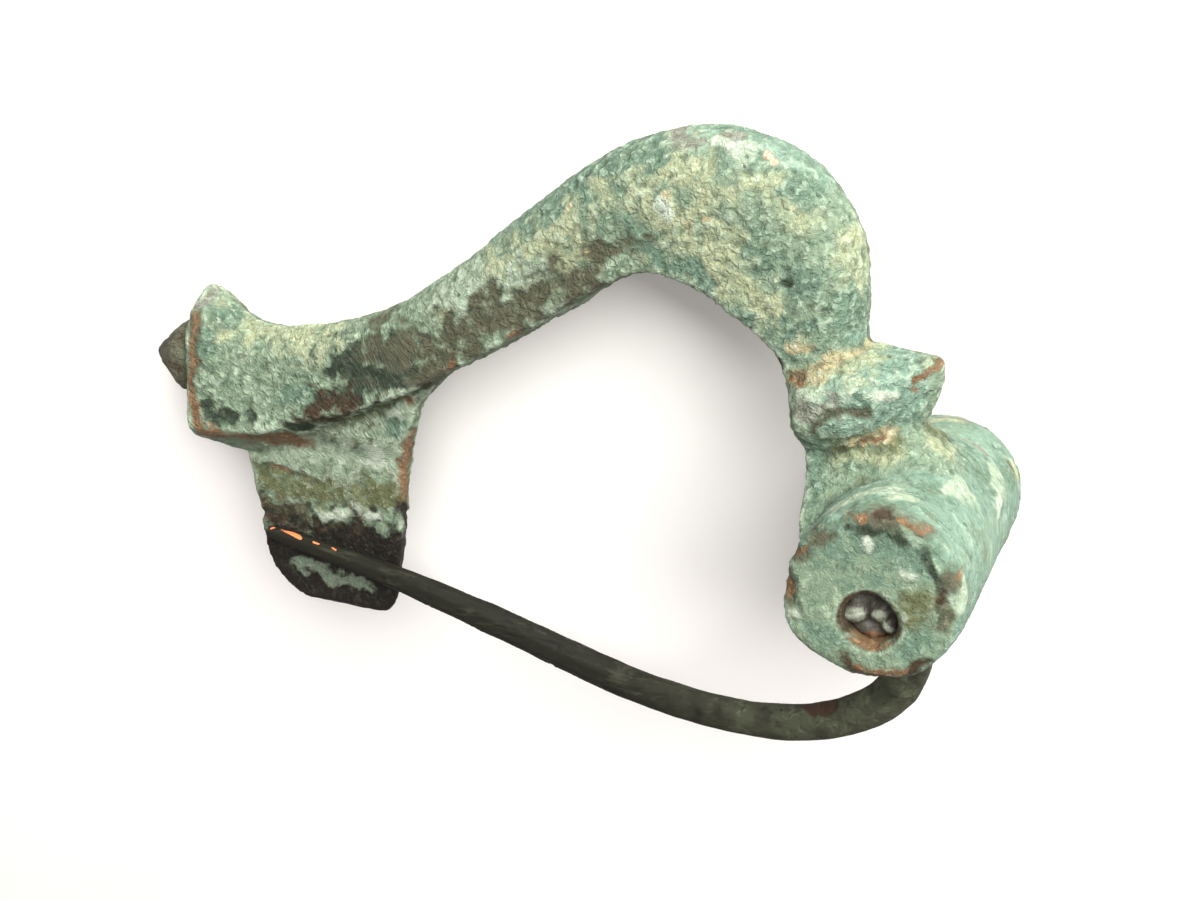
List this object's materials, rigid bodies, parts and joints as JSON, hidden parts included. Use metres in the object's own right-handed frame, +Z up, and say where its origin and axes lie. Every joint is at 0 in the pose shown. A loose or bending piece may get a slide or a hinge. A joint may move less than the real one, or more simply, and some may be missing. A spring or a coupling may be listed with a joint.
{
  "type": "bow brooch",
  "caption": "Cast copper-alloy bow brooch with an arched bow, flared foot with a knob, catchplate, collar and tubular hinged head, and a bent pin that turns on an axle.",
  "frame": {"origin": "centre of the bounding box, at the level of the three points that the brooch lies on", "axes": "+Z up from the surface it lies on, about along the head's axis; +X from the foot towards the head; +Y from the pin towards the top of the bow"},
  "size_m": [0.045, 0.0278, 0.0157],
  "materials": {
    "patina": "crusty, pitted green patina",
    "dark_bronze": "smooth dark olive patina",
    "axle_bronze": "dark, corroded"
  },
  "bodies": {
    "brooch": {"brooch_casting": "patina", "hinge_axle": "axle_bronze"},
    "pin": {"pin": "dark_bronze"}
  },
  "joints": [
    {"name": "pin_hinge", "type": "hinge", "parent": "brooch", "child": "pin", "pos_m": [0.01804, -0.00383, 0.00813], "axis": [-0.1072, 0.2893, 0.9512], "range_deg": [0, 56]}
  ]
}
